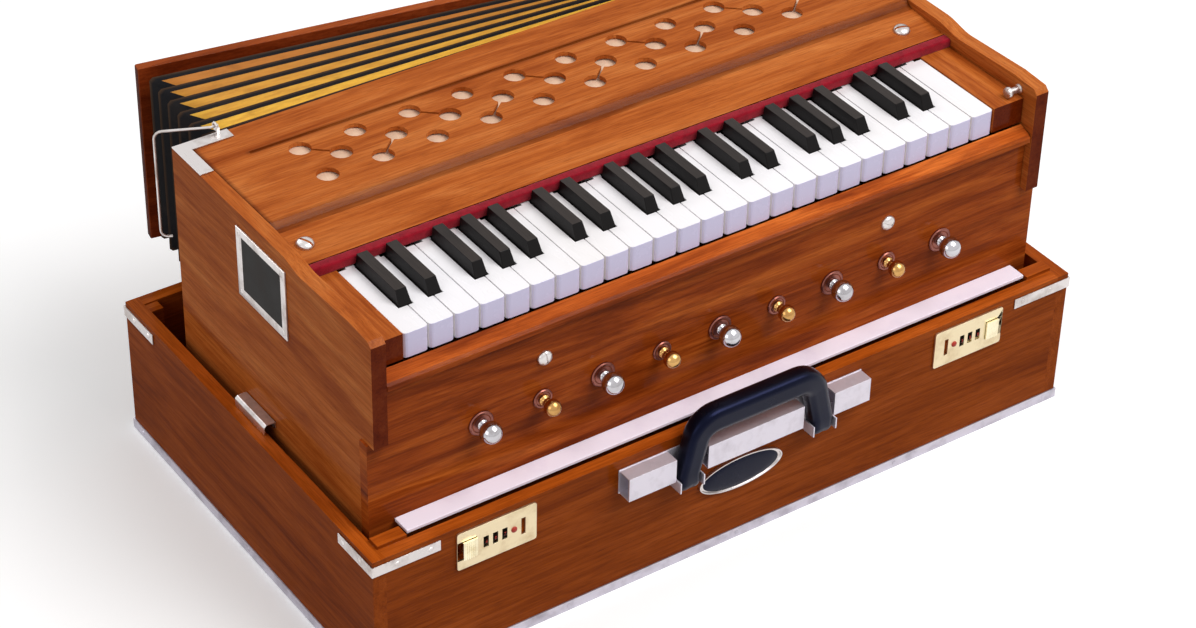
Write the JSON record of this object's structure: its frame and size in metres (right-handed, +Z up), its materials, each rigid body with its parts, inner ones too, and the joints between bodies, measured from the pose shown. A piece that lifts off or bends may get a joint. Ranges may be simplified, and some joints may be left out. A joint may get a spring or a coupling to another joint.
{
  "type": "harmonium",
  "caption": "Folding hand-pumped harmonium standing raised in its carrying case, with keyboard, stops, pierced top, case handle and locks, and rear bellows open at the left.",
  "frame": {"origin": "centre of the lower case's underside, on the surface that it stands on", "axes": "+X along the keyboard towards the high notes, +Y away from the player, +Z up"},
  "size_m": [0.65, 0.4476, 0.3049],
  "materials": {
    "case_wood": "reddish-brown varnished hardwood, satin",
    "cabinet_wood": "reddish-brown polished hardwood, glossy",
    "front_wood": "dark-streaked polished hardwood, glossy",
    "plain_wood": "plain softwood",
    "edge_aluminium": "dull, lightly scratched",
    "nickel": "nickel plate, worn",
    "lock_metal": "pale plated, satin",
    "chrome": "bright plate",
    "brass": "polished",
    "black_plastic": "moulded, semi-gloss",
    "white_strip": "matt",
    "cream_lining": "woven cloth",
    "red_felt": "wool felt",
    "white_key": "glossy",
    "black_key": "satin",
    "bellows_card": "gold-faced card and dark cloth"
  },
  "bodies": {
    "case": {"lower_case": "case_wood", "case_edge_trim": "edge_aluminium", "strap_front_left": "nickel", "strap_front_right": "nickel", "strap_back_left": "nickel", "strap_back_right": "nickel", "lock_plate_left": "lock_metal", "lock_plate_right": "lock_metal", "handle_mount": "chrome", "badge_plate": "black_plastic", "side_catch_left": "nickel", "side_catch_right": "nickel"},
    "cabinet": {"cabinet_shell": "cabinet_wood", "front_panel": "front_wood", "front_strip": "white_strip", "top_panel": "cabinet_wood", "grille_lining": "cream_lining", "key_rail": "cabinet_wood", "key_felt": "red_felt", "reed_board": "plain_wood", "reeds": "brass", "corner_plate_left": "nickel", "corner_plate_right": "nickel", "label_plate": "nickel", "bellows_folds": "bellows_card"},
    "bellows": {"bellows_board": "cabinet_wood"},
    "grip": {"handle_grip": "black_plastic"},
    "stop_1": {"stop_1": "chrome"},
    "stop_2": {"stop_2": "brass"},
    "stop_3": {"stop_3": "chrome"},
    "stop_4": {"stop_4": "brass"},
    "stop_5": {"stop_5": "chrome"},
    "stop_6": {"stop_6": "brass"},
    "stop_7": {"stop_7": "chrome"},
    "stop_8": {"stop_8": "brass"},
    "stop_9": {"stop_9": "chrome"},
    "wire_left": {"latch_wire_left": "nickel"},
    "wire_right": {"latch_wire_right": "nickel"},
    "lock_button_left": {"lock_button_left": "lock_metal"},
    "lock_dials_left": {"lock_dials_left": "black_plastic"},
    "lock_button_right": {"lock_button_right": "lock_metal"},
    "lock_dials_right": {"lock_dials_right": "black_plastic"},
    "key_C2_C3": {"key_C2_C3": "white_key"},
    "key_Cs2_Cs3": {"key_Cs2_Cs3": "black_key"},
    "key_D2_D3": {"key_D2_D3": "white_key"},
    "key_Ds2_Ds3": {"key_Ds2_Ds3": "black_key"},
    "key_E2_E3": {"key_E2_E3": "white_key"},
    "key_F2_F3": {"key_F2_F3": "white_key"},
    "key_Fs2_Fs3_Fs4": {"key_Fs2_Fs3_Fs4": "black_key"},
    "key_G2_G3_G4": {"key_G2_G3_G4": "white_key"},
    "key_Gs2_Gs3_Gs4": {"key_Gs2_Gs3_Gs4": "black_key"},
    "key_A2_A3_A4": {"key_A2_A3_A4": "white_key"},
    "key_As2_As3_As4": {"key_As2_As3_As4": "black_key"},
    "key_B2_B3_B4": {"key_B2_B3_B4": "white_key"},
    "key_C4_C5": {"key_C4_C5": "white_key"},
    "key_Cs4_Cs5": {"key_Cs4_Cs5": "black_key"},
    "key_D4_D5": {"key_D4_D5": "white_key"},
    "key_Ds4_Ds5": {"key_Ds4_Ds5": "black_key"},
    "key_E4_E5": {"key_E4_E5": "white_key"},
    "key_F4_F5": {"key_F4_F5": "white_key"}
  },
  "joints": [
    {"name": "cabinet_lift", "type": "slide", "parent": "case", "child": "cabinet", "axis": [0, 0, 1], "range_m": [-0.012, 0]},
    {"name": "bellows_swing", "type": "hinge", "parent": "cabinet", "child": "bellows", "pos_m": [0.289, 0.137, 0.138], "axis": [0, 0, -1], "range_deg": [-9.6, 9], "deforming": ["bellows_folds"]},
    {"name": "grip_swing", "type": "hinge", "parent": "case", "child": "grip", "pos_m": [0, -0.1967, 0.09], "axis": [1, 0, 0], "range_deg": [0, 165]},
    {"name": "stop_1_pull", "type": "slide", "parent": "cabinet", "child": "stop_1", "axis": [0, -1, 0], "range_m": [0, 0.012]},
    {"name": "stop_2_pull", "type": "slide", "parent": "cabinet", "child": "stop_2", "axis": [0, -1, 0], "range_m": [0, 0.012]},
    {"name": "stop_3_pull", "type": "slide", "parent": "cabinet", "child": "stop_3", "axis": [0, -1, 0], "range_m": [0, 0.012]},
    {"name": "stop_4_pull", "type": "slide", "parent": "cabinet", "child": "stop_4", "axis": [0, -1, 0], "range_m": [0, 0.012]},
    {"name": "stop_5_pull", "type": "slide", "parent": "cabinet", "child": "stop_5", "axis": [0, -1, 0], "range_m": [0, 0.012]},
    {"name": "stop_6_pull", "type": "slide", "parent": "cabinet", "child": "stop_6", "axis": [0, -1, 0], "range_m": [0, 0.012]},
    {"name": "stop_7_pull", "type": "slide", "parent": "cabinet", "child": "stop_7", "axis": [0, -1, 0], "range_m": [0, 0.012]},
    {"name": "stop_8_pull", "type": "slide", "parent": "cabinet", "child": "stop_8", "axis": [0, -1, 0], "range_m": [0, 0.012]},
    {"name": "stop_9_pull", "type": "slide", "parent": "cabinet", "child": "stop_9", "axis": [0, -1, 0], "range_m": [0, 0.012]},
    {"name": "wire_left_swing", "type": "hinge", "parent": "cabinet", "child": "wire_left", "pos_m": [-0.265, 0.1232, 0.3012], "axis": [1, 0, 0], "range_deg": [0, 100]},
    {"name": "wire_right_swing", "type": "hinge", "parent": "cabinet", "child": "wire_right", "pos_m": [0.261, 0.1232, 0.3012], "axis": [1, 0, 0], "range_deg": [0, 100]},
    {"name": "lock_button_left_slide", "type": "slide", "parent": "case", "child": "lock_button_left", "axis": [-1, 0, 0], "range_m": [0, 0.004], "stiffness_N_per_m": 400, "springref_m": -0.002},
    {"name": "lock_dials_left_turn", "type": "hinge", "parent": "case", "child": "lock_dials_left", "pos_m": [-0.2215, -0.1844, 0.1025], "axis": [1, 0, 0], "continuous": true},
    {"name": "lock_button_right_slide", "type": "slide", "parent": "case", "child": "lock_button_right", "axis": [1, 0, 0], "range_m": [0, 0.004], "stiffness_N_per_m": 400, "springref_m": -0.002},
    {"name": "lock_dials_right_turn", "type": "hinge", "parent": "case", "child": "lock_dials_right", "pos_m": [0.2215, -0.1844, 0.1025], "axis": [1, 0, 0], "continuous": true},
    {"name": "key_C2_C3_press", "type": "hinge", "parent": "cabinet", "child": "key_C2_C3", "pos_m": [0, -0.0368, 0.266], "axis": [1, 0, 0], "range_deg": [0, 3.6], "stiffness_Nm_per_rad": 0.4, "springref_deg": -17.19},
    {"name": "key_Cs2_Cs3_press", "type": "hinge", "parent": "cabinet", "child": "key_Cs2_Cs3", "pos_m": [0, -0.0368, 0.266], "axis": [1, 0, 0], "range_deg": [0, 3.6], "stiffness_Nm_per_rad": 0.4, "springref_deg": -17.19},
    {"name": "key_D2_D3_press", "type": "hinge", "parent": "cabinet", "child": "key_D2_D3", "pos_m": [0, -0.0368, 0.266], "axis": [1, 0, 0], "range_deg": [0, 3.6], "stiffness_Nm_per_rad": 0.4, "springref_deg": -17.19},
    {"name": "key_Ds2_Ds3_press", "type": "hinge", "parent": "cabinet", "child": "key_Ds2_Ds3", "pos_m": [0, -0.0368, 0.266], "axis": [1, 0, 0], "range_deg": [0, 3.6], "stiffness_Nm_per_rad": 0.4, "springref_deg": -17.19},
    {"name": "key_E2_E3_press", "type": "hinge", "parent": "cabinet", "child": "key_E2_E3", "pos_m": [0, -0.0368, 0.266], "axis": [1, 0, 0], "range_deg": [0, 3.6], "stiffness_Nm_per_rad": 0.4, "springref_deg": -17.19},
    {"name": "key_F2_F3_press", "type": "hinge", "parent": "cabinet", "child": "key_F2_F3", "pos_m": [0, -0.0368, 0.266], "axis": [1, 0, 0], "range_deg": [0, 3.6], "stiffness_Nm_per_rad": 0.4, "springref_deg": -17.19},
    {"name": "key_Fs2_Fs3_Fs4_press", "type": "hinge", "parent": "cabinet", "child": "key_Fs2_Fs3_Fs4", "pos_m": [0, -0.0368, 0.266], "axis": [1, 0, 0], "range_deg": [0, 3.6], "stiffness_Nm_per_rad": 0.4, "springref_deg": -17.19},
    {"name": "key_G2_G3_G4_press", "type": "hinge", "parent": "cabinet", "child": "key_G2_G3_G4", "pos_m": [0, -0.0368, 0.266], "axis": [1, 0, 0], "range_deg": [0, 3.6], "stiffness_Nm_per_rad": 0.4, "springref_deg": -17.19},
    {"name": "key_Gs2_Gs3_Gs4_press", "type": "hinge", "parent": "cabinet", "child": "key_Gs2_Gs3_Gs4", "pos_m": [0, -0.0368, 0.266], "axis": [1, 0, 0], "range_deg": [0, 3.6], "stiffness_Nm_per_rad": 0.4, "springref_deg": -17.19},
    {"name": "key_A2_A3_A4_press", "type": "hinge", "parent": "cabinet", "child": "key_A2_A3_A4", "pos_m": [0, -0.0368, 0.266], "axis": [1, 0, 0], "range_deg": [0, 3.6], "stiffness_Nm_per_rad": 0.4, "springref_deg": -17.19},
    {"name": "key_As2_As3_As4_press", "type": "hinge", "parent": "cabinet", "child": "key_As2_As3_As4", "pos_m": [0, -0.0368, 0.266], "axis": [1, 0, 0], "range_deg": [0, 3.6], "stiffness_Nm_per_rad": 0.4, "springref_deg": -17.19},
    {"name": "key_B2_B3_B4_press", "type": "hinge", "parent": "cabinet", "child": "key_B2_B3_B4", "pos_m": [0, -0.0368, 0.266], "axis": [1, 0, 0], "range_deg": [0, 3.6], "stiffness_Nm_per_rad": 0.4, "springref_deg": -17.19},
    {"name": "key_C4_C5_press", "type": "hinge", "parent": "cabinet", "child": "key_C4_C5", "pos_m": [0, -0.0368, 0.266], "axis": [1, 0, 0], "range_deg": [0, 3.6], "stiffness_Nm_per_rad": 0.4, "springref_deg": -17.19},
    {"name": "key_Cs4_Cs5_press", "type": "hinge", "parent": "cabinet", "child": "key_Cs4_Cs5", "pos_m": [0, -0.0368, 0.266], "axis": [1, 0, 0], "range_deg": [0, 3.6], "stiffness_Nm_per_rad": 0.4, "springref_deg": -17.19},
    {"name": "key_D4_D5_press", "type": "hinge", "parent": "cabinet", "child": "key_D4_D5", "pos_m": [0, -0.0368, 0.266], "axis": [1, 0, 0], "range_deg": [0, 3.6], "stiffness_Nm_per_rad": 0.4, "springref_deg": -17.19},
    {"name": "key_Ds4_Ds5_press", "type": "hinge", "parent": "cabinet", "child": "key_Ds4_Ds5", "pos_m": [0, -0.0368, 0.266], "axis": [1, 0, 0], "range_deg": [0, 3.6], "stiffness_Nm_per_rad": 0.4, "springref_deg": -17.19},
    {"name": "key_E4_E5_press", "type": "hinge", "parent": "cabinet", "child": "key_E4_E5", "pos_m": [0, -0.0368, 0.266], "axis": [1, 0, 0], "range_deg": [0, 3.6], "stiffness_Nm_per_rad": 0.4, "springref_deg": -17.19},
    {"name": "key_F4_F5_press", "type": "hinge", "parent": "cabinet", "child": "key_F4_F5", "pos_m": [0, -0.0368, 0.266], "axis": [1, 0, 0], "range_deg": [0, 3.6], "stiffness_Nm_per_rad": 0.4, "springref_deg": -17.19}
  ]
}
